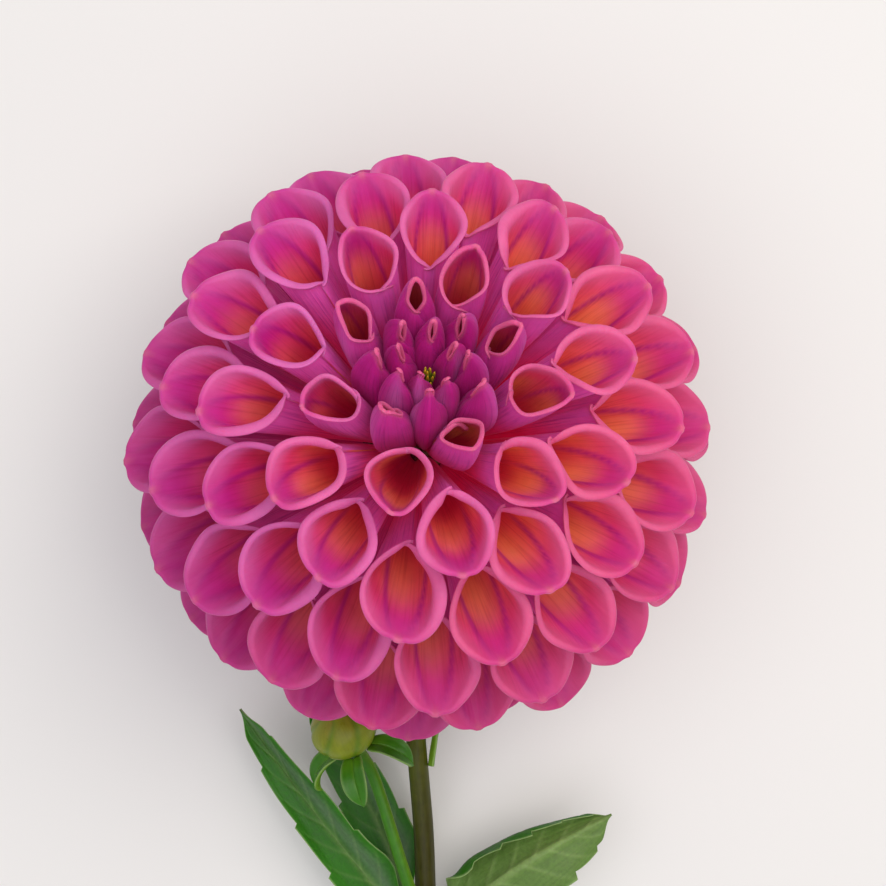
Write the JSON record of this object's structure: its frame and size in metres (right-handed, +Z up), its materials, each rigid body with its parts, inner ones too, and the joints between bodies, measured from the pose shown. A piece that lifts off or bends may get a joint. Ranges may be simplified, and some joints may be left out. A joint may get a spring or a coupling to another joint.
{
  "type": "dahlia flower",
  "caption": "Ball dahlia laid down: a round bloom of tubular ray florets on a bent cut stem with leaves and a side bud.",
  "frame": {"origin": "on the surface that the flower lies on, under the middle of its box", "axes": "+Z up; the stem lies towards -Y, and the bloom faces +Z, leaning 20 degrees towards +Y and 2 towards +X"},
  "size_m": [0.1012, 0.1852, 0.0879],
  "materials": {
    "ray_floret": "satin living petal tissue, pink with coral throats",
    "heart_floret": "satin living petal tissue, dark purple-red",
    "receptacle": "pale green matte plant flesh",
    "stem": "satin olive-brown plant skin",
    "bract": "glossy yellow-green plant skin",
    "leaf": "satin dark green leaf"
  },
  "bodies": {
    "root": {"receptacle": "receptacle", "eye": "bract", "heart_floret_01": "heart_floret", "heart_floret_02": "heart_floret", "heart_floret_03": "heart_floret", "heart_floret_04": "heart_floret", "heart_floret_05": "heart_floret", "heart_floret_06": "heart_floret", "heart_floret_07": "heart_floret", "heart_floret_08": "heart_floret", "heart_floret_09": "heart_floret", "heart_floret_10": "heart_floret", "heart_floret_11": "heart_floret", "heart_floret_12": "heart_floret", "heart_floret_13": "heart_floret", "floret_row_01_front": "ray_floret", "floret_row_01_back": "ray_floret", "floret_row_02_front": "ray_floret", "floret_row_02_back": "ray_floret", "floret_row_03_front": "ray_floret", "floret_row_03_back": "ray_floret", "floret_row_04_front": "ray_floret", "floret_row_04_back": "ray_floret", "floret_row_05_front": "ray_floret", "floret_row_05_back": "ray_floret", "floret_row_06_front": "ray_floret", "floret_row_06_back": "ray_floret", "floret_row_07_front": "ray_floret", "floret_row_07_back": "ray_floret", "floret_row_08_front": "ray_floret", "floret_row_08_back": "ray_floret", "floret_row_09_front": "ray_floret", "floret_row_09_back": "ray_floret", "floret_row_10_front": "ray_floret", "floret_row_10_back": "ray_floret", "floret_row_11_front": "ray_floret", "floret_row_11_back": "ray_floret", "floret_row_12_front": "ray_floret", "floret_row_12_back": "ray_floret", "floret_row_13_front": "ray_floret", "floret_row_13_back": "ray_floret", "stem": "stem", "bloom_bract_1": "bract", "bloom_bract_2": "bract", "bloom_bract_3": "bract", "bloom_bract_4": "bract", "bloom_bract_5": "bract", "stem_bract": "bract", "leaf_left": "leaf", "leaf_left_rear": "leaf", "leaf_right": "leaf", "bud_stalk": "bract", "bud": "bract", "bud_bract_1": "bract", "bud_bract_2": "bract", "bud_bract_3": "bract", "bud_bract_4": "bract", "bud_bract_5": "bract", "axil_shoot": "bract"}
  },
  "joints": []
}
